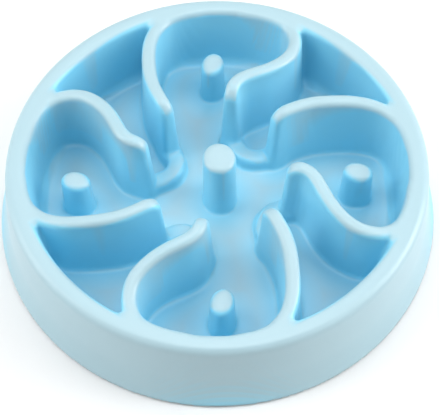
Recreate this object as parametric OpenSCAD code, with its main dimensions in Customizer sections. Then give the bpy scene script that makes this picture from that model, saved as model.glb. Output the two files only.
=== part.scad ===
// Slow feeder bowl: one moulded bowl with four petal cups, standing on four rubber feet.
// The origin is on the table under the middle of the bowl, with +Z up.

/* [Bowl] */
// Outside diameter of the foot edge
base_d = 200; // [190:1:240]
// How far the skirt steps in at the crease above the foot band
band_inset = 3.8; // [2:0.1:6]
// Height of the crease above the table
band_h = 10; // [7:0.5:14]
// Outside diameter of the rim
rim_d = 187; // [170:1:190]
// Height of the rim above the table
rim_h = 39.5; // [36:0.5:44]
// Width of the top of the rim
rim_w = 9; // [7:0.5:12]
// Rounding of the rim's outer edge
rim_outer_r = 3.2; // [2:0.1:4]
// Rounding of the rim's inner edge
rim_inner_r = 2.4; // [1.5:0.1:3]
// Height of the bowl's floor above the table
floor_h = 6; // [5:0.5:9]
// Thickness of the moulded shell
shell_t = 2.4; // [1.8:0.1:3]
// Radius between the floor and the outer wall
floor_fillet_r = 4.5; // [3:0.5:6]
// Draft angle of the outer wall's inside
rim_draft = 6; // [3:0.5:10]
// Gap between the foot edge and the table
edge_gap = 0.8; // [0.4:0.1:1.5]

/* [Maze walls] */
// Height of the highest wall above the table
wall_top_h = 46.5; // [42:0.5:52]
// Height of the low sill between two petals above the table
sill_h = 12; // [10:0.5:16]
// Width of a wall's crest
crest_w = 6.2; // [5:0.1:7.5]
// Rounding of a wall's crest
crest_r = 2.5; // [1.5:0.1:2.5]
// Width of the sill
sill_w = 8.4; // [7:0.1:9]
// Draft angle of the walls
wall_draft = 2; // [1:0.5:4]
// Height of the bevel at the foot of the walls
wall_bevel_h = 2.2; // [1.5:0.1:3.5]
// How much a wall narrows at its rounded end, on each side
end_taper = 1.6; // [0:0.1:2]
// Rounding of a wall's end, seen from the side
end_r = 3.2; // [2:0.1:4]
// Thickness of the walls round their hollow cores
core_wall = 2; // [1.6:0.1:2.4]

/* [Pegs] */
// Distance of the four outer pegs from the middle
peg_pitch_r = 63.4; // [58:0.5:66]
// Height of the outer pegs above the table
peg_h = 28; // [20:0.5:36]
// Length of an outer peg across its top
peg_l = 13.4; // [10:0.1:14]
// Width of an outer peg across its top
peg_w = 10.4; // [8:0.1:12]
// Turn of an outer peg's long side away from the bowl's radius
peg_turn = -15; // [-40:1:40]
// Height of the middle peg above the table
middle_peg_h = 40.4; // [30:0.5:44]
// Length of the middle peg across its top
middle_peg_l = 15.4; // [14:0.1:18]
// Width of the middle peg across its top
middle_peg_w = 13.8; // [12:0.1:16]
// Turn of the middle peg's long side away from +Y
middle_peg_turn = 8; // [-40:1:40]
// How far the middle peg stands to the right of the bowl's middle
middle_shift_x = 1.1; // [0:0.1:2]
// How far it stands behind the bowl's middle
middle_shift_y = 1.1; // [0:0.1:2]
// Rounding of the pegs' tops
peg_top_r = 2.6; // [1:0.1:3]
// Draft angle of the pegs
peg_draft = 1.5; // [1:0.5:4]
// Height of the bevel at the foot of the pegs
peg_bevel_h = 1.2; // [0.8:0.1:3]

/* [Rubber feet] */
// Diameter of a rubber foot
foot_d = 14; // [10:0.5:16]
// Distance of the feet from the middle
foot_pitch_r = 68; // [64:0.5:72]
// Angle of the first foot round the bowl
foot_angle = 40; // [36:1:46]
// Clearance round a foot in its socket
foot_clearance = 0.2; // [0.1:0.05:0.4]
// Thickness of the socket ring round a foot
socket_t = 1.6; // [1.2:0.1:2.4]
// Gap between the table and the socket ring
socket_gap = 1.2; // [0.8:0.1:1.6]
// Bevel round the underside of a foot
foot_bevel = 0.6; // [0.3:0.1:1]

/* [Hidden] */
petals = 4;
petal_step = 360 / petals;
round_fn = 180;
small_fn = 64;
// Overrun of cuts, and how deep walls, pegs and sills run into the floor
overrun = 1;
sink = 1.2;
sill_sink = 0.9;

base_r = base_d / 2;
rim_r = rim_d / 2;
band_r = base_r - band_inset;
opening_r = rim_r - rim_w;
under_floor_h = floor_h - shell_t;

// Stations of a petal's two walls from inside the rim to their ends: x and y as shares of the
// opening's radius, and the crest's rise above the rim as a share of the highest wall's rise
long_wall_shares = [
    [-0.17, 1.04, -0.6], [-0.245, 0.985, -0.1], [-0.305, 0.91, 0.05],
    [-0.34, 0.82, 0.2], [-0.351, 0.72, 0.35], [-0.349, 0.62, 0.45], [-0.338, 0.525, 0.55],
    [-0.314, 0.445, 0.62], [-0.287, 0.383, 0.66], [-0.26, 0.333, 0.65]];
hook_wall_shares = [
    [0.29, 1.01, -0.6], [0.37, 0.955, -0.1], [0.426, 0.897, -0.05],
    [0.457, 0.828, 0.05], [0.458, 0.763, 0.2], [0.438, 0.698, 0.35], [0.402, 0.645, 0.47],
    [0.359, 0.604, 0.6], [0.308, 0.568, 0.73], [0.255, 0.54, 0.85], [0.205, 0.518, 0.92],
    [0.158, 0.495, 0.97], [0.12, 0.463, 1], [0.1, 0.428, 1], [0.09, 0.393, 1]];
// The low sill from a petal's long wall to the next petal's hooked wall, with its width as a share
// of the sill's: it is narrower where it runs inside the walls' ends
sill_shares = [
    [-0.2555, 0.325, 0.4], [-0.2388, 0.2936, 0.4], [-0.2325, 0.265, 1], [-0.2305, 0.24, 1],
    [-0.2335, 0.207, 1], [-0.2405, 0.173, 1], [-0.258, 0.142, 1], [-0.29, 0.1135, 1],
    [-0.327, 0.094, 1], [-0.36, 0.085, 0.4], [-0.39, 0.085, 0.4]];

function lerp(a, b, t) = a + (b - a) * t;
function last(list) = list[len(list) - 1];

// Points of an arc about a centre, from one angle to another
function arc(centre, r, from, to, steps) =
    [for (i = [0 : steps]) let (a = lerp(from, to, i / steps)) centre + r * [cos(a), sin(a)]];

// One smooth curve through a list of points
function chord(p, i) = norm(p[i + 1] - p[i]);
function tangent(p, i) =
    i == 0 ? (p[1] - p[0]) / chord(p, 0) :
    i == len(p) - 1 ? (p[i] - p[i - 1]) / chord(p, i - 1) :
    let (a = chord(p, i - 1), b = chord(p, i))
    ((p[i] - p[i - 1]) / a * b + (p[i + 1] - p[i]) / b * a) / (a + b);
function hermite(p, i, t) =
    let (d = chord(p, i), t2 = t * t, t3 = t2 * t)
    (2 * t3 - 3 * t2 + 1) * p[i] + (t3 - 2 * t2 + t) * d * tangent(p, i)
    + (3 * t2 - 2 * t3) * p[i + 1] + (t3 - t2) * d * tangent(p, i + 1);

// A station of a wall is [x, y, height of the crest, half width of the crest, half width at the foot]
function wall_foot_w(z) = crest_w / 2 + (z - floor_h) * tan(wall_draft);
function wall_station(s) =
    let (z = rim_h + s[2] * (wall_top_h - rim_h))
    [s[0] * opening_r, s[1] * opening_r, z, crest_w / 2, wall_foot_w(z)];

// Longest step along a wall and along the hollow inside it
wall_step = 9;
core_step = 14;

function plan(list) = [for (s = list) [s[0], s[1]]];
function span_steps(a, b, step) = ceil(norm([b[0] - a[0], b[1] - a[1]]) / step);
function span(list, path, i, steps) =
    [for (j = [0 : steps - 1])
        let (t = j / steps, p = hermite(path, i, t), a = list[i], b = list[i + 1])
        [p[0], p[1], lerp(a[2], b[2], t), lerp(a[3], b[3], t), lerp(a[4], b[4], t)]];
function smooth(list, step) =
    let (path = plan(list))
    [for (i = [0 : len(list) - 2]) each span(list, path, i, span_steps(list[i], list[i + 1], step)),
        last(list)];

// A wall from inside the rim to its end, where the crest turns down and gets narrower
end_turns = [30, 60, 84];
function rounded_end(s, dir) =
    [for (a = end_turns) let (reach = end_r * sin(a), turn = 1 - cos(a))
        [s[0] + reach * dir[0], s[1] + reach * dir[1],
            s[2] - end_r * turn, s[3] - end_taper * turn, s[4] - end_taper * turn]];
function whole_wall(shares) =
    let (list = smooth([for (s = shares) wall_station(s)], wall_step), n = len(list))
    concat(list, rounded_end(list[n - 1], heading(plan(list), n - 1)));
sill_draft_w = (sill_h - floor_h) * tan(wall_draft);
sill_stations = [for (s = sill_shares) let (half_w = s[2] * sill_w / 2)
    [s[0] * opening_r, s[1] * opening_r, sill_h, half_w, half_w + sill_draft_w]];

// Direction of travel at a station, and its bend, which is positive to the left
function heading(p, i) =
    let (d = p[min(i + 1, len(p) - 1)] - p[max(i - 1, 0)])
    d / norm(d);
function bend(p, i) =
    i == 0 || i == len(p) - 1 ? 0 :
    let (a = p[i] - p[i - 1], b = p[i + 1] - p[i])
    2 * (a[0] * b[1] - a[1] * b[0]) / (norm(a) * norm(b) * (norm(a) + norm(b)));
// Width that a wall may take on one side of a bend without meeting itself
bend_share = 0.85;
function room(p, i, side) = bend(p, i) * side > 0 ? bend_share / abs(bend(p, i)) : base_r;

// Foot of a drafted flank: a bevel that runs on a little below the floor's surface
crest_steps = 2;
bevel_slope = 38;
function flank_foot(foot_w, bevel_h, draft, depth) =
    let (bevel_w = foot_w - bevel_h * tan(draft))
    [[bevel_w, floor_h + bevel_h], [bevel_w + (bevel_h + depth) * tan(bevel_slope), floor_h - depth]];

// Half of a section from the middle of its crest down into the floor, for walls and pegs alike
function half_section(z, half_w, top_r, draft, bevel_h, depth) =
    let (flank_h = z - top_r + top_r * sin(draft) - floor_h, edge_w = half_w - top_r)
    concat(
        arc([edge_w, z - top_r], top_r, 90, draft, crest_steps),
        flank_foot(edge_w + top_r * cos(draft) + flank_h * tan(draft), bevel_h, draft, depth));
crest_share = 0.9;
function wall_section(s, depth) =
    half_section(s[2], s[3], min(crest_r, crest_share * s[3]),
        atan((s[4] - s[3]) / (s[2] - floor_h)), wall_bevel_h, depth);
// Half of the hollow inside a wall, which is open to the underside and has a thicker roof
roof_share = 1.3;
core_roof = core_wall * roof_share;
function half_core(s) =
    let (foot_w = s[4] - core_wall)
    [[s[3] - core_wall, s[2] - core_roof], [foot_w, under_floor_h], [foot_w, under_floor_h - overrun]];

// A ring of points across a wall: up its left side and down its right side
function ring(s, dir, left_w, right_w, half) =
    let (across = [-dir[1], dir[0]], n = len(half))
    [for (j = [0 : 2 * n - 1])
        let (h = j < n ? half[n - 1 - j] : half[j - n],
            u = j < n ? min(h[0], left_w) : -min(h[0], right_w))
        [s[0] + u * across[0], s[1] + u * across[1], h[1]]];

// Closed solid through rings that all have the same number of points
module skin(rings) {
    n = len(rings[0]);
    m = len(rings);
    function at(i, j) = i * n + j % n;
    sides = [for (i = [0 : m - 2], j = [0 : n - 1]) each
        [[at(i, j), at(i + 1, j), at(i + 1, j + 1)], [at(i, j), at(i + 1, j + 1), at(i, j + 1)]]];
    ends = [[for (j = [0 : n - 1]) at(0, j)], [for (j = [n - 1 : -1 : 0]) at(m - 1, j)]];
    polyhedron(points = [for (r = rings) each r], faces = concat(sides, ends), convexity = 8);
}

// A wall or a sill along its stations
module maze_wall(stations, depth) {
    p = plan(stations);
    skin([for (i = [0 : len(p) - 1])
        ring(stations[i], heading(p, i), room(p, i, 1), room(p, i, -1),
            wall_section(stations[i], depth))]);
}
// The hollow inside a wall, from just inside the rim to just before its end
module wall_core(shares) {
    stations = smooth([for (i = [1 : len(shares) - 2]) wall_station(shares[i])], core_step);
    p = plan(stations);
    skin([for (i = [0 : len(p) - 1])
        ring(stations[i], heading(p, i), room(p, i, 1) - core_wall, room(p, i, -1) - core_wall,
            half_core(stations[i]))]);
}

// Drafted oval peg with a rounded top, standing in the floor, and the round hollow inside it
peg_sides = 16;
function oval(a, b, z) =
    [for (j = [0 : peg_sides - 1]) let (t = -360 * j / peg_sides) [a * cos(t), b * sin(t), z]];
module peg(h, l, w) {
    profile = half_section(h, 0, peg_top_r, peg_draft, peg_bevel_h, sink);
    skin([for (p = profile) oval(l / 2 + p[0], w / 2 + p[0], p[1])]);
}
module peg_core(h, w) {
    top_r = w / 2 - core_wall;
    core_h = h - core_roof - under_floor_h;
    translate([0, 0, under_floor_h])
    cylinder(r1 = top_r + core_h * tan(peg_draft), r2 = top_r, h = core_h, $fn = small_fn);
}
module at_petals() {
    for (k = [0 : petals - 1]) rotate(k * petal_step) children();
}
module at_outer_pegs() {
    at_petals() translate([0, peg_pitch_r, 0]) rotate(90 + peg_turn) children();
}
module at_middle_peg() {
    translate([middle_shift_x, middle_shift_y, 0]) rotate(90 + middle_peg_turn) children();
}

// Radius of the outer wall's inside at a height, and of the flat of the floor
function inner_wall_r(z) = opening_r - (rim_h - rim_inner_r - z) * tan(rim_draft);
floor_r = inner_wall_r(floor_h) - floor_fillet_r * tan((90 - rim_draft) / 2);
edge_round = shell_t / 3;
arc_steps = 6;

// Outline of the bowl as if solid: floor, outer wall, rim, skirt and foot edge
function bowl_outline() = concat(
    [[0, floor_h]],
    arc([floor_r, floor_h + floor_fillet_r], floor_fillet_r, 270, 360 - rim_draft, arc_steps),
    arc([opening_r + rim_inner_r, rim_h - rim_inner_r], rim_inner_r, 180 - rim_draft, 90, arc_steps),
    arc([rim_r - rim_outer_r, rim_h - rim_outer_r], rim_outer_r, 90, 0, arc_steps),
    [[band_r, band_h]],
    arc([base_r - edge_round, edge_gap + edge_round], edge_round, 0, -90, 3),
    [[0, edge_gap]]);
// Outline of the hollow underneath, one shell thickness inside the outline above
function hollow_outline() = concat(
    [[0, -overrun], [0, under_floor_h]],
    arc([floor_r, floor_h + floor_fillet_r], floor_fillet_r + shell_t, 270, 360 - rim_draft, arc_steps),
    [[opening_r + shell_t, rim_h - shell_t], [rim_r - rim_outer_r, rim_h - shell_t]],
    [[rim_r - shell_t, rim_h - rim_outer_r], [band_r - shell_t, band_h]],
    [[base_r - shell_t, edge_gap + edge_round], [base_r - shell_t, -overrun]]);

module at_foot(k) {
    rotate(foot_angle + (k - 1) * petal_step) translate([foot_pitch_r, 0, 0]) children();
}
// Ring under the floor that a rubber foot is glued into
module socket_ring() {
    socket_r = foot_d / 2 + foot_clearance;
    ring_h = under_floor_h - socket_gap;
    translate([0, 0, socket_gap])
    difference() {
        cylinder(r = socket_r + socket_t, h = ring_h + shell_t / 2, $fn = small_fn);
        translate([0, 0, -overrun])
        cylinder(r = socket_r, h = ring_h + overrun, $fn = small_fn);
    }
}

module bowl() {
    color([0.74, 0.89, 0.95])
    union() {
        difference() {
            union() {
                rotate_extrude($fn = round_fn) polygon(bowl_outline());
                at_petals() {
                    maze_wall(whole_wall(long_wall_shares), sink);
                    maze_wall(whole_wall(hook_wall_shares), sink);
                }
                at_petals() maze_wall(sill_stations, sill_sink);
                at_outer_pegs() peg(peg_h, peg_l, peg_w);
                at_middle_peg() peg(middle_peg_h, middle_peg_l, middle_peg_w);
            }
            rotate_extrude($fn = round_fn) polygon(hollow_outline());
            at_petals() {
                wall_core(long_wall_shares);
                wall_core(hook_wall_shares);
            }
            at_outer_pegs() peg_core(peg_h, peg_w);
            at_middle_peg() peg_core(middle_peg_h, middle_peg_w);
        }
        for (k = [1 : petals]) at_foot(k) socket_ring();
    }
}

// Rubber foot against the underside of the floor, with a bevelled lower edge
module rubber_foot(k) {
    foot_r = foot_d / 2;
    color([0.86, 0.88, 0.88])
    at_foot(k)
    rotate_extrude($fn = small_fn)
    polygon([
        [0, 0], [foot_r - foot_bevel, 0], [foot_r, foot_bevel],
        [foot_r, under_floor_h], [0, under_floor_h]]);
}

bowl();
rubber_foot(1);  // foot_1
rubber_foot(2);  // foot_2
rubber_foot(3);  // foot_3
rubber_foot(4);  // foot_4
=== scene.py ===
import math

import bpy
import numpy as np
from mathutils import Matrix


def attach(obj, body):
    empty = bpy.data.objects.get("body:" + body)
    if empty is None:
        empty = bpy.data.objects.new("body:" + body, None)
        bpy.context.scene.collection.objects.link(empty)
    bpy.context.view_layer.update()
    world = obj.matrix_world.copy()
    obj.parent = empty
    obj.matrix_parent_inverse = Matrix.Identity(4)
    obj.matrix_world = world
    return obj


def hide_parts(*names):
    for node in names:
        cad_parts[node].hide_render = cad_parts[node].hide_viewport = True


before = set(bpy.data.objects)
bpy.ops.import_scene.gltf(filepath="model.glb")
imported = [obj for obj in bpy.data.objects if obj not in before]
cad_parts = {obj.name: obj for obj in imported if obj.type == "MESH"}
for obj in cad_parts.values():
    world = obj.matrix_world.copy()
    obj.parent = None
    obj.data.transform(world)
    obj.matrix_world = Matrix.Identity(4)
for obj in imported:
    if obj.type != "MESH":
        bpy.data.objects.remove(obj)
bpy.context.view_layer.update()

# The bowl is modelled in millimetres in the CAD frame and handed to Blender in metres.
MM = 0.001

# Camera, as fitted to the photograph's outline: the picture's width, the focal length and the
# principal point in pixels, the sensor and the distance in mm, angles in degrees
IMAGE_W = 440
FOCAL_PX = 1323.22
PRINCIPAL_X, PRINCIPAL_Y = -2.54, 0.46
SENSOR = 36.0
CAMERA_DISTANCE = 616.33
CAMERA_ELEVATION = 58.37
CAMERA_ROLL = -0.65
CAMERA_TURN = 1.40
# What the camera sees, from and to, in metres
CLIP_NEAR, CLIP_FAR = 0.01, 20

# Softboxes round the bowl, like a light tent: their size and distance in metres, then for each
# its azimuth from +X and its elevation in degrees, and its power in watts, as fitted by least
# squares to the photograph's colours
SOFTBOX_SIZE, SOFTBOX_DISTANCE = 0.7, 1.2
SOFTBOXES = [
    ("softbox_left_low", 180, 20, 4.3), ("softbox_left_high", 180, 50, 4.7),
    ("softbox_right_low", 0, 20, 8.3), ("softbox_right_high", 0, 50, 4.2),
    ("softbox_back_left", 135, 30, 1.6), ("softbox_back_right", 45, 30, 1.6),
    ("softbox_front_left", -135, 30, 1.8), ("softbox_front_right", -45, 30, 1.1),
    ("softbox_back_high", 90, 65, 2.0), ("softbox_top", 90, 88, 3.3)]
# Strength of the faint light from all sides
FILL_LIGHT = 0.03
# Half the side of the white ground, in metres
GROUND_HALF = 0.6

# Driving sizes of the bowl, in mm and degrees. Most are the CAD's. The highest crest, the middle peg
# and the rounding and lean of the walls' ends differ from them.
BASE_R, BAND_R, BAND_H = 100.0, 96.2, 10.0
RIM_R, RIM_H, RIM_W = 93.5, 39.5, 9.0
RIM_OUTER_ROUND, RIM_INNER_ROUND, RIM_DRAFT = 3.2, 2.4, 6.0
FLOOR_H, FLOOR_ROUND = 6.0, 4.5
SHELL_T, EDGE_GAP, EDGE_ROUND = 2.4, 0.8, 0.8
CREASE_ROUND = 2.0
OPENING_R = RIM_R - RIM_W

WALL_TOP_H, SILL_H, SILL_W = 46.4, 12.0, 8.4
CREST_W, CREST_ROUND = 6.2, 2.5
WALL_DRAFT, WALL_FILLET = 2.0, 2.2
END_ROUND, END_LEAN = 2.4, 4.0
SHOULDER_ROUND = 6.5
RIM_JOINT_FILLET, RIM_JOINT_DEPTH, LEVEL_REACH = 3.5, 5.0, 8.0

PETALS = 4
QUARTER = 360 / PETALS
PEG_PITCH_R, PEG_H, PEG_L, PEG_W, PEG_TURN = 63.4, 28.0, 13.4, 10.4, -15.0
MIDDLE_H, MIDDLE_L, MIDDLE_W, MIDDLE_TURN = 41.2, 16.3, 14.7, 8.0
MIDDLE_SHIFT = (1.1, 1.1)
PEG_DRAFT, MIDDLE_DRAFT = 1.5, 0.4
PEG_TOP_ROUND, PEG_FILLET = 2.6, 1.2

FOOT_R, FOOT_PITCH_R, FOOT_ANGLE, FOOT_CLEARANCE = 7.0, 68.0, 40.0, 0.2
SOCKET_T, SOCKET_GAP = 1.6, 1.2
# How far a socket's ring runs into the floor
SOCKET_SINK = 1.0

# Stations of a petal's walls, as fitted to the crests in the photograph: x and y as shares of the
# opening's radius, and the crest's rise above the rim as a share of the highest wall's rise
LONG_WALL_SHARES = [
    (-0.08, 1.05, -0.12), (-0.175, 1.02, -0.1), (-0.25, 0.968, -0.05), (-0.308, 0.9, 0.05),
    (-0.34, 0.815, 0.2), (-0.351, 0.72, 0.35), (-0.349, 0.62, 0.45), (-0.338, 0.525, 0.55),
    (-0.314, 0.445, 0.62), (-0.287, 0.383, 0.66), (-0.26, 0.333, 0.65)]
HOOK_WALL_SHARES = [
    (0.2, 1.03, -0.12), (0.3, 0.995, -0.1), (0.38, 0.945, -0.08), (0.43, 0.893, -0.05),
    (0.457, 0.828, 0.05), (0.458, 0.763, 0.2), (0.438, 0.698, 0.35), (0.402, 0.645, 0.47),
    (0.359, 0.604, 0.6), (0.308, 0.568, 0.73), (0.255, 0.54, 0.85), (0.205, 0.518, 0.92),
    (0.158, 0.495, 0.97), (0.12, 0.463, 1), (0.1, 0.428, 1), (0.09, 0.393, 1)]
# Stations of the low sill: x and y as above, and how much of the middle's shift each takes
SILL_SHARES = [
    (-0.262, 0.335, 0), (-0.246, 0.272, 0.5), (-0.232, 0.227, 1), (-0.2355, 0.185, 1),
    (-0.258, 0.142, 1), (-0.299, 0.113, 1), (-0.34, 0.1, 0.5), (-0.378, 0.092, 0)]

# Reaches, in mm, at which the surface's openness is measured for the painted shade and painted light in its
# colour
OPEN_REACHES = (12, 16, 20)
# The least that such a reach counts as where the grid's end cuts it short, in mm
SHORTEST_REACH = 0.5
# How much of the painted shade is taken off where a surface faces up, as painted light from above
FACING_UP_PAINTED_LIGHT_SHARE = 0.7

# Spacing of the grid that the surface is found on, and its margin round the bowl, in mm
GRID = 1.0
GRID_MARGIN = 3.0
# How far past its crest or top each wall or peg is worked out, in mm
WALL_MARGIN, PEG_MARGIN = 3 * WALL_FILLET + 2, 3.0
# Stand for none where zero can't be used: a length in mm, the field's slope, and what is divided by
NO_LENGTH, NO_SLOPE, NEVER_ZERO = 0.01, 1e-3, 1e-6
# How often each point is moved onto the surface, and how far at most in one go, in cells
MOVES, LONGEST_MOVE = 2, 0.6


# Smooth curves in plan
def turned(points, k):
    """Points turned k quarter turns about the bowl's middle."""
    c, s = [(1, 0), (0, 1), (-1, 0), (0, -1)][k % PETALS]
    return np.column_stack([c * points[:, 0] - s * points[:, 1], s * points[:, 0] + c * points[:, 1]])


def smooth_curve(stations, step=0.3):
    """A smooth curve through stations of x, y and a value: its points and the value at each."""
    p = np.array(stations, float)
    n = len(p)
    d = np.linalg.norm(np.diff(p[:, :2], axis=0), axis=1)
    leg = np.diff(p[:, :2], axis=0) / d[:, None]
    tangent = np.empty((n, 2))
    tangent[0], tangent[-1] = leg[0], leg[-1]
    for i in range(1, n - 1):
        tangent[i] = (leg[i - 1] * d[i] + leg[i] * d[i - 1]) / (d[i - 1] + d[i])
    xy, value = [], []
    for i in range(n - 1):
        parts = max(2, math.ceil(d[i] / step))
        for u in np.arange(parts) / parts:
            a, b = 2 * u**3 - 3 * u**2 + 1, (u**3 - 2 * u**2 + u) * d[i]
            c, e = 3 * u**2 - 2 * u**3, (u**3 - u**2) * d[i]
            xy.append(a * p[i, :2] + b * tangent[i] + c * p[i + 1, :2] + e * tangent[i + 1])
            value.append(p[i, 2] + (p[i + 1, 2] - p[i, 2]) * u)
    return np.array(xy + [p[-1, :2]]), np.array(value + [p[-1, 2]])


def along_curve(X, Y, xy, value, run_on):
    """Distance from the curve, place along it and its value there, for each point of X and Y.

    The curve runs on straight past its end, and the place of that end comes last."""
    way = xy[-1] - xy[-2]
    p = np.vstack([xy, xy[-1] + run_on * way / np.linalg.norm(way)])
    v = np.append(value, value[-1])
    length = np.linalg.norm(np.diff(p, axis=0), axis=1)
    start = np.concatenate([[0], np.cumsum(length)])
    nearest = np.full(X.shape, np.inf)
    place, found = np.zeros(X.shape), np.zeros(X.shape)
    for i in range(len(length)):
        tx, ty = (p[i + 1] - p[i]) / length[i]
        u = np.clip((X - p[i, 0]) * tx + (Y - p[i, 1]) * ty, 0, length[i])
        q = (X - p[i, 0] - u * tx)**2 + (Y - p[i, 1] - u * ty)**2
        m = q < nearest
        nearest[m] = q[m]
        place[m] = start[i] + u[m]
        found[m] = v[i] + (v[i + 1] - v[i]) * u[m] / length[i]
    return np.sqrt(nearest), place, found, start[-2]


# Solids as distance fields: negative inside, joined and cut with true roundings
def joined(a, b, r):
    """Union of two solids with a fillet of radius r in the corner between them."""
    return np.maximum(r, np.minimum(a, b)) - np.hypot(np.maximum(r - a, 0), np.maximum(r - b, 0))


def common(a, b, r):
    """Intersection of two solids with its edge rounded to radius r."""
    return np.minimum(-r, np.maximum(a, b)) + np.hypot(np.maximum(r + a, 0), np.maximum(r + b, 0))


class Grid:
    """The grid of points in the space round the bowl."""

    def __init__(self, h):
        self.h = h
        side = BASE_R + GRID_MARGIN
        self.x = np.arange(-side, side + h, h, dtype=np.float32)
        bottom = EDGE_GAP - GRID_MARGIN - h / 2
        self.z = np.arange(bottom, WALL_TOP_H + GRID_MARGIN + h, h, dtype=np.float32)
        self.X, self.Y = np.meshgrid(self.x, self.x, indexing="ij")
        self.Z = self.z[None, None, :]
        self.R = np.hypot(self.X, self.Y)[:, :, None]

    def near(self, lo, hi):
        """The part of the grid between two corners in plan."""
        i = np.searchsorted(self.x, [lo[0], hi[0]])
        j = np.searchsorted(self.x, [lo[1], hi[1]])
        return slice(*i), slice(*j)


def cone(g, r0, z0, r1, z1):
    """Inside of a cone whose side passes through two points of its profile."""
    n = math.hypot(r1 - r0, z1 - z0)
    return (g.R - r0) * ((z1 - z0) / n) - (g.Z - z0) * ((r1 - r0) / n)


def dish(g):
    """The bowl as if solid, before its walls and pegs."""
    skirt = cone(g, BAND_R, BAND_H, RIM_R, RIM_H - RIM_OUTER_ROUND)
    band = cone(g, BASE_R, EDGE_GAP + EDGE_ROUND, BAND_R, BAND_H)
    outside = joined(skirt, band, CREASE_ROUND)
    draft = math.radians(RIM_DRAFT)
    inner_r = OPENING_R - (RIM_H - RIM_INNER_ROUND - g.Z) * math.tan(draft)
    f = joined((inner_r - g.R) * math.cos(draft), g.Z - FLOOR_H + 0 * g.R, FLOOR_ROUND)
    f = common(f, g.Z - RIM_H + 0 * g.R, RIM_INNER_ROUND)
    return common(f, outside, RIM_OUTER_ROUND)


def maze_curves():
    """For each wall and sill its plan curve, the height along it, its width, and whether its end shows."""
    for k in range(PETALS):
        for stations in (LONG_WALL_SHARES, HOOK_WALL_SHARES):
            xy, rise = smooth_curve([(x * OPENING_R, y * OPENING_R, c) for x, y, c in stations])
            yield turned(xy, k), RIM_H + rise * (WALL_TOP_H - RIM_H), CREST_W, True
        shift = turned(np.array([MIDDLE_SHIFT]), -k % PETALS)[0]
        xy, level = smooth_curve([
            (x * OPENING_R + f * shift[0], y * OPENING_R + f * shift[1], SILL_H) for x, y, f in SILL_SHARES])
        yield turned(xy, k), level, SILL_W, False


def add_walls(g, f):
    """Joins the maze's walls and sills to the bowl."""
    slope = math.tan(math.radians(WALL_DRAFT))
    # The fillet grows towards the rim's inner edge and fades out inside the rim.
    fillet = np.interp(
        g.R + 0 * g.Z, OPENING_R + RIM_JOINT_DEPTH * np.array([-1, 0, 1]),
        [WALL_FILLET, RIM_JOINT_FILLET, NO_LENGTH]).astype(np.float32)
    reach = CREST_W + WALL_MARGIN
    for xy, height, width, shows_end in maze_curves():
        part = g.near(xy.min(0) - reach, xy.max(0) + reach)
        u, s, top, end = along_curve(
            g.X[part].astype(float), g.Y[part].astype(float), xy, height,
            reach if shows_end else NO_LENGTH)
        u, s, top = (a[:, :, None].astype(np.float32) for a in (u, s, top))
        drop = top - g.Z
        flank = (u - (width / 2 + drop * slope)) * math.cos(math.radians(WALL_DRAFT))
        crest = -drop
        if shows_end:
            face = s - (end + END_ROUND) - drop * math.tan(math.radians(END_LEAN))
            crest = common(crest, face, SHOULDER_ROUND)
        wall = common(flank, crest, CREST_ROUND)
        both = joined(f[part], wall, fillet[part])
        if shows_end:
            # Where a crest runs into the rim, the corners beside it fill up level with the rim's top.
            level = g.Z - np.maximum(top, RIM_H)
            both = np.where(u < LEVEL_REACH, np.maximum(both, level), both)
        f[part] = both


def add_peg(g, f, x, y, turn, height, length, width, draft=PEG_DRAFT):
    """Joins a drafted oval peg to the floor."""
    reach = length + PEG_MARGIN
    part = g.near((x - reach, y - reach), (x + reach, y + reach))
    dx, dy = g.X[part] - x, g.Y[part] - y
    c, s = math.cos(math.radians(turn)), math.sin(math.radians(turn))
    u, v = (c * dx + s * dy)[:, :, None], (c * dy - s * dx)[:, :, None]
    grow = (height - g.Z) * math.tan(math.radians(draft))
    a, b = length / 2 + grow, width / 2 + grow
    k0 = np.hypot(u / a, v / b) + NEVER_ZERO
    k1 = np.hypot(u / a**2, v / b**2) + NEVER_ZERO
    side = k0 * (k0 - 1) / k1
    f[part] = joined(f[part], common(side, g.Z - height + 0 * side, PEG_TOP_ROUND), PEG_FILLET)


def add_pegs(g, f):
    """Joins the four outer pegs and the middle peg to the floor."""
    for k in range(PETALS):
        x, y = turned(np.array([[0, PEG_PITCH_R]]), k)[0]
        add_peg(g, f, x, y, PEG_TURN + QUARTER * (k + 1), PEG_H, PEG_L, PEG_W)
    add_peg(g, f, *MIDDLE_SHIFT, MIDDLE_TURN + QUARTER, MIDDLE_H, MIDDLE_L, MIDDLE_W, MIDDLE_DRAFT)


def hollowed(g, f):
    """The moulded shell: hollow from below, with a ring round each foot."""
    f = np.maximum(f, -(f + SHELL_T))
    ring_top = FLOOR_H - SHELL_T + SOCKET_SINK
    ring_r = FOOT_R + FOOT_CLEARANCE + SOCKET_T / 2
    for k in range(PETALS):
        a = math.radians(FOOT_ANGLE + QUARTER * k)
        x, y = FOOT_PITCH_R * math.cos(a), FOOT_PITCH_R * math.sin(a)
        part = g.near((x - 2 * FOOT_R, y - 2 * FOOT_R), (x + 2 * FOOT_R, y + 2 * FOOT_R))
        d = np.hypot(g.X[part] - x, g.Y[part] - y)[:, :, None]
        ring = np.maximum(np.abs(d - ring_r) - SOCKET_T / 2, np.maximum(SOCKET_GAP - g.Z, g.Z - ring_top))
        f[part] = np.minimum(f[part], ring)
    return common(np.maximum(f, g.R - BASE_R), EDGE_GAP - g.Z + 0 * f, EDGE_ROUND)


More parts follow.
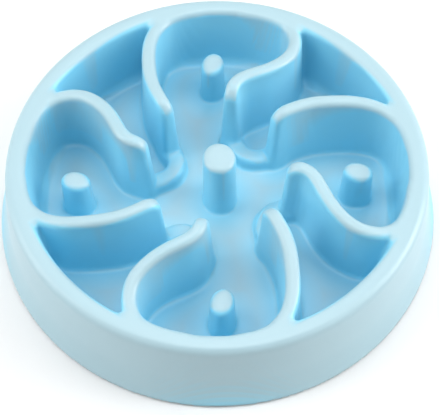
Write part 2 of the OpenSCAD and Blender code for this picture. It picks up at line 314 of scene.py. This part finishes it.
# From the field to a mesh
def net(f):
    """One vertex in each cell that the surface passes through, and a quad across each crossed grid edge."""
    inside = f < 0
    cells = tuple(n - 1 for n in f.shape)
    total = int(np.prod(cells))
    sums, count, crossed = np.zeros((3, total)), np.zeros(total), []
    for axis in range(3):
        a, b = [slice(None)] * 3, [slice(None)] * 3
        a[axis], b[axis] = slice(0, -1), slice(1, None)
        a, b = tuple(a), tuple(b)
        m = inside[a] != inside[b]
        place = np.argwhere(m)
        at = place.astype(float)
        at[:, axis] += f[a][m] / (f[a][m] - f[b][m])
        p, q = (axis + 1) % 3, (axis + 2) % 3
        corners = []
        for dp, dq in ((-1, -1), (0, -1), (0, 0), (-1, 0)):
            c = place.copy()
            c[:, p] += dp
            c[:, q] += dq
            i = np.ravel_multi_index(c.T, cells)
            corners.append(i)
            count += np.bincount(i, minlength=total)
            for k in range(3):
                sums[k] += np.bincount(i, at[:, k], minlength=total)
        quads = np.column_stack(corners)
        out = ~inside[a][m]
        quads[out] = quads[out][:, ::-1]
        crossed.append(quads)
    used = np.flatnonzero(count)
    number = np.full(total, -1)
    number[used] = np.arange(len(used))
    return (sums[:, used] / count[used]).T, number[np.vstack(crossed)]


def cubic_weights(t):
    """Weights of four neighbours at t between the middle two, and of the slope there."""
    weights = (
        (2 * t**2 - t - t**3) / 2, (2 - 5 * t**2 + 3 * t**3) / 2,
        (t + 4 * t**2 - 3 * t**3) / 2, (t**3 - t**2) / 2)
    slopes = (
        (4 * t - 1 - 3 * t**2) / 2, (9 * t**2 - 10 * t) / 2,
        (1 + 8 * t - 9 * t**2) / 2, (3 * t**2 - 2 * t) / 2)
    return weights, slopes


def sampled(f, points):
    """Smooth value and gradient of the field at points given in cells."""
    base = np.floor(points).astype(int)
    (wx, dx), (wy, dy), (wz, dz) = (cubic_weights(points[:, i] - base[:, i]) for i in range(3))
    flat = f.ravel()
    first = np.ravel_multi_index((base - 1).T, f.shape)
    value, grad = np.zeros(len(points)), np.zeros((len(points), 3))
    for i in range(4):
        for j in range(4):
            row = first + (i * f.shape[1] + j) * f.shape[2]
            near = [flat[row + k] for k in range(4)]
            level = sum(n * w for n, w in zip(near, wz))
            value += level * wx[i] * wy[j]
            grad[:, 0] += level * dx[i] * wy[j]
            grad[:, 1] += level * wx[i] * dy[j]
            grad[:, 2] += sum(n * d for n, d in zip(near, dz)) * wx[i] * wy[j]
    return value, grad


def faces_to_points(vectors, quads, count):
    """Unit vectors at the points, each from the vectors of the faces that meet there."""
    sums = [np.bincount(quads.ravel(), np.repeat(vectors[:, i], 4), count) for i in range(3)]
    return (sums / np.maximum(np.linalg.norm(sums, axis=0), NEVER_ZERO)).T


def mesh_normals(points, quads):
    """Normals from the faces round each point, averaged once more over the neighbours."""
    a, b, c, d = (points[quads[:, i]] for i in range(4))
    normals = faces_to_points(np.cross(c - a, d - b), quads, len(points))
    return faces_to_points(normals[quads].sum(axis=1), quads, len(points))


def painted_light_openness(g, f, points, normals):
    """How free the space before each point of the surface is, for the colour's painted shade and light: 0 is
    shut in, 1 is open or faces up.
    """
    painted_light_share = []
    # Sampling needs one cell before the point and two after it.
    for reach in OPEN_REACHES:
        ahead = np.clip(points + normals * (reach / g.h), 1, np.array(f.shape) - 3)
        way = g.h * np.linalg.norm(ahead - points, axis=1)
        painted_light_share.append(np.clip(sampled(f, ahead)[0] / np.maximum(way, SHORTEST_REACH), 0, 1))
    # Painted shade follows how shut in a point is, and is partly lifted as painted light where the point
    # faces up.
    painted_shade_share = 1 - np.mean(painted_light_share, axis=0)
    return 1 - painted_shade_share * (1 - FACING_UP_PAINTED_LIGHT_SHARE * np.clip(normals[:, 2], 0, 1)**2)


def bowl_surface():
    """Points in mm, quads, unit normals and the openness that the colour's painted shade and light follow,
    for the whole bowl.

    The normals that are shown come from the mesh. The shell is only a few cells thick, so those of the
    field ripple slightly, and serve to measure the openness alone."""
    g = Grid(GRID)
    f = dish(g)
    add_walls(g, f)
    add_pegs(g, f)
    f = hollowed(g, f)
    points, quads = net(f)
    for _ in range(MOVES):
        value, grad = sampled(f, points)
        slope = np.maximum(np.linalg.norm(grad, axis=1), NO_SLOPE)
        points -= grad / slope[:, None] * np.clip(value / slope, -LONGEST_MOVE, LONGEST_MOVE)[:, None]
    grad = sampled(f, points)[1]
    across = grad / np.maximum(np.linalg.norm(grad, axis=1), NEVER_ZERO)[:, None]
    painted_light_share = painted_light_openness(g, f, points, across)
    return points * g.h + (g.x[0], g.x[0], g.z[0]), quads, mesh_normals(points, quads), painted_light_share


def make_bowl():
    """The bowl's object, with its normals and the openness that its painted shade and light follow."""
    points, quads, normals, painted_light_share = bowl_surface()
    mesh = bpy.data.meshes.new("bowl_shell")
    mesh.vertices.add(len(points))
    mesh.vertices.foreach_set("co", (points * MM).ravel())
    mesh.loops.add(quads.size)
    mesh.loops.foreach_set("vertex_index", quads.ravel())
    mesh.polygons.add(len(quads))
    mesh.polygons.foreach_set("loop_start", np.arange(0, quads.size, 4))
    mesh.update(calc_edges=True)
    mesh.validate()
    mesh.shade_smooth()
    mesh.normals_split_custom_set_from_vertices(normals)
    # Kept on the mesh for the material, which paints shade and light by it.
    mesh.attributes.new("painted_light_openness", "FLOAT", "POINT").data.foreach_set("value", painted_light_share.astype(np.float32))
    bowl = bpy.data.objects.new("bowl_shell", mesh)
    bpy.context.collection.objects.link(bowl)
    return bowl


# Materials
class Nodes:
    """Short forms for building a material's nodes."""

    def __init__(self, name):
        self.material = bpy.data.materials.new(name)
        self.material.use_nodes = True
        self.tree = self.material.node_tree
        self.tree.nodes.clear()
        self.place = self.add("ShaderNodeTexCoord").outputs["Object"]

    def add(self, kind, inputs=None, **settings):
        node = self.tree.nodes.new(kind)
        for key, value in settings.items():
            setattr(node, key, value)
        for key, value in (inputs or {}).items():
            socket = node.inputs[key]
            if isinstance(value, bpy.types.NodeSocket):
                self.tree.links.new(value, socket)
            else:
                socket.default_value = value
        return node

    def noise(self, per_metre, detail=3.0, roughness=0.5):
        node = self.add("ShaderNodeTexNoise", {
            "Vector": self.place, "Scale": per_metre, "Detail": detail, "Roughness": roughness})
        return node.outputs["Fac"]

    def spread(self, value, low, high, from_low=0.3, from_high=0.7):
        """A value carried from one range to another."""
        node = self.add("ShaderNodeMapRange", {
            "Value": value, "From Min": from_low, "From Max": from_high, "To Min": low, "To Max": high})
        return node.outputs[0]

    def mix(self, fac, a, b):
        """A colour between a and b, which are sockets 6 and 7 of a mix node."""
        node = self.add("ShaderNodeMix", data_type="RGBA")
        for key, value in ((0, fac), (6, a), (7, b)):
            if isinstance(value, bpy.types.NodeSocket):
                self.tree.links.new(value, node.inputs[key])
            else:
                node.inputs[key].default_value = value
        return node.outputs[2]

    def bump(self, height, distance, strength=1.0, below=None):
        inputs = {"Height": height, "Distance": distance, "Strength": strength}
        if below is not None:
            inputs["Normal"] = below
        return self.add("ShaderNodeBump", inputs).outputs["Normal"]

    def finish(self, shader):
        self.add("ShaderNodeOutputMaterial", {"Surface": shader})
        return self.material


def plastic():
    """Moulded plastic in pale blue with a fine grain, and painted light: painted shade makes it deeper blue
    in the hollows, and a painted sheen makes it paler on free edges and on faces that look up.
    """
    n = Nodes("pale_blue_plastic")
    # Painted light in the colour: a shaded copy of the blue where the surface is shut in, and a lit copy
    # paled by painted sheen where it is open or faces up.
    painted_light_openness = n.add("ShaderNodeAttribute", attribute_name="painted_light_openness").outputs["Fac"]
    painted_light_share = n.spread(painted_light_openness, low=0, high=1, from_low=0.7, from_high=1)
    painted_shade_blue, painted_lit_and_cloud_blue = (0.275, 0.695, 0.88, 1), (0.42, 0.61, 0.68, 1)
    # The cloud is a random tone that leans towards the lit copy.
    cloud = n.spread(n.noise(per_metre=14, detail=2), low=0, high=0.12)
    colour = n.mix(cloud, n.mix(painted_light_share, painted_shade_blue, painted_lit_and_cloud_blue), painted_lit_and_cloud_blue)
    roughness = n.spread(n.noise(per_metre=60, detail=4, roughness=0.6), low=0.29, high=0.35)
    grain = n.bump(n.noise(per_metre=2600, detail=2), distance=0.000008, strength=0.5)
    sink_marks = n.bump(n.noise(per_metre=55, detail=2), distance=0.00008, strength=0.4, below=grain)
    shader = n.add("ShaderNodeBsdfPrincipled", {
        "Base Color": colour, "Roughness": roughness, "Normal": sink_marks, "IOR": 1.49,
        "Specular IOR Level": 0.5})
    return n.finish(shader.outputs[0])


def rubber():
    """Pale grey rubber with a matt, slightly grainy skin."""
    n = Nodes("pale_rubber")
    dark, light = (0.58, 0.61, 0.61, 1), (0.66, 0.69, 0.69, 1)
    colour = n.mix(n.spread(n.noise(per_metre=120, detail=3), low=0, high=1), dark, light)
    roughness = n.spread(n.noise(per_metre=300, detail=4), low=0.7, high=0.85)
    normal = n.bump(n.noise(per_metre=1500, detail=3), distance=0.00005, strength=0.6)
    shader = n.add("ShaderNodeBsdfPrincipled", {
        "Base Color": colour, "Roughness": roughness, "Normal": normal})
    return n.finish(shader.outputs[0])


def floor_material():
    """Plain white ground that keeps the bowl's soft shadow."""
    n = Nodes("white_ground")
    shader = n.add("ShaderNodeBsdfPrincipled", {
        "Base Color": (0.92, 0.92, 0.92, 1), "Roughness": 0.9, "Specular IOR Level": 0.1})
    return n.finish(shader.outputs[0])


# Scene
def make_floor():
    """The white ground under the bowl."""
    mesh = bpy.data.meshes.new("ground")
    corners = [(x * GROUND_HALF, y * GROUND_HALF, 0) for x, y in ((-1, -1), (1, -1), (1, 1), (-1, 1))]
    mesh.from_pydata(corners, [], [(0, 1, 2, 3)])
    ground = bpy.data.objects.new("ground", mesh)
    bpy.context.collection.objects.link(ground)
    mesh.materials.append(floor_material())


def placed(*columns):
    """The matrix of an object from its three axes and its place."""
    return Matrix([[column[i] for column in columns] for i in range(3)] + [[0, 0, 0, 1]])


def make_camera():
    """The photograph's camera: raised and rolled in front of the bowl, then turned about its axis."""
    e, roll, turn = (math.radians(a) for a in (CAMERA_ELEVATION, CAMERA_ROLL, -CAMERA_TURN))
    back = np.array([0, -math.cos(e), math.sin(e)])
    right = np.array([1.0, 0, 0])
    up = np.cross(back, right)
    side = math.cos(roll) * right + math.sin(roll) * up
    top = -math.sin(roll) * right + math.cos(roll) * up
    c, s = math.cos(turn), math.sin(turn)
    about_z = np.array([[c, -s, 0], [s, c, 0], [0, 0, 1]])
    data = bpy.data.cameras.new("camera")
    data.sensor_width = SENSOR
    data.lens = FOCAL_PX / IMAGE_W * SENSOR
    data.shift_x, data.shift_y = -PRINCIPAL_X / IMAGE_W, PRINCIPAL_Y / IMAGE_W
    data.clip_start, data.clip_end = CLIP_NEAR, CLIP_FAR
    camera = bpy.data.objects.new("camera", data)
    bpy.context.collection.objects.link(camera)
    camera.matrix_world = placed(*(about_z @ v for v in (side, top, back, CAMERA_DISTANCE * MM * back)))
    bpy.context.scene.camera = camera


def make_lamp(name, azimuth, elevation, power):
    """A round softbox that faces the bowl."""
    data = bpy.data.lights.new(name, "AREA")
    data.shape = "DISK"
    data.size = SOFTBOX_SIZE
    data.energy = power
    lamp = bpy.data.objects.new(name, data)
    bpy.context.collection.objects.link(lamp)
    a, e = math.radians(azimuth), math.radians(elevation)
    back = np.array([math.cos(e) * math.cos(a), math.cos(e) * math.sin(a), math.sin(e)])
    side = np.array([-math.sin(a), math.cos(a), 0])
    lamp.matrix_world = placed(side, np.cross(back, side), back, SOFTBOX_DISTANCE * back)


def make_world():
    """White behind the bowl and in its reflections, and a faint light on it from all sides."""
    world = bpy.data.worlds.new("studio")
    world.use_nodes = True
    tree = world.node_tree
    tree.nodes.clear()
    path = tree.nodes.new("ShaderNodeLightPath")
    either = tree.nodes.new("ShaderNodeMath")
    either.operation = "MAXIMUM"
    tree.links.new(path.outputs["Is Camera Ray"], either.inputs[0])
    tree.links.new(path.outputs["Is Glossy Ray"], either.inputs[1])
    mix = tree.nodes.new("ShaderNodeMixShader")
    tree.links.new(either.outputs[0], mix.inputs[0])
    for place, strength in ((1, FILL_LIGHT), (2, 1)):
        light = tree.nodes.new("ShaderNodeBackground")
        light.inputs["Color"].default_value = (1, 1, 1, 1)
        light.inputs["Strength"].default_value = strength
        tree.links.new(light.outputs[0], mix.inputs[place])
    out = tree.nodes.new("ShaderNodeOutputWorld")
    tree.links.new(mix.outputs[0], out.inputs[0])
    bpy.context.scene.world = world


bowl = make_bowl()
bowl.data.materials.append(plastic())
# Keeps the mesh's facets out of the soft edge between light and shade.
bowl.cycles.shadow_terminator_geometry_offset = 0.2
bowl.cycles.shadow_terminator_offset = 0.1
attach(bowl, "root")
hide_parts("bowl")

foot_rubber = rubber()
for name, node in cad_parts.items():
    if name.startswith("foot_"):
        for slot in node.material_slots:
            slot.material = foot_rubber

make_floor()
make_camera()
make_world()
for name, azimuth, elevation, power in SOFTBOXES:
    make_lamp(name, azimuth, elevation, power)
bpy.context.scene.view_settings.view_transform = "Standard"
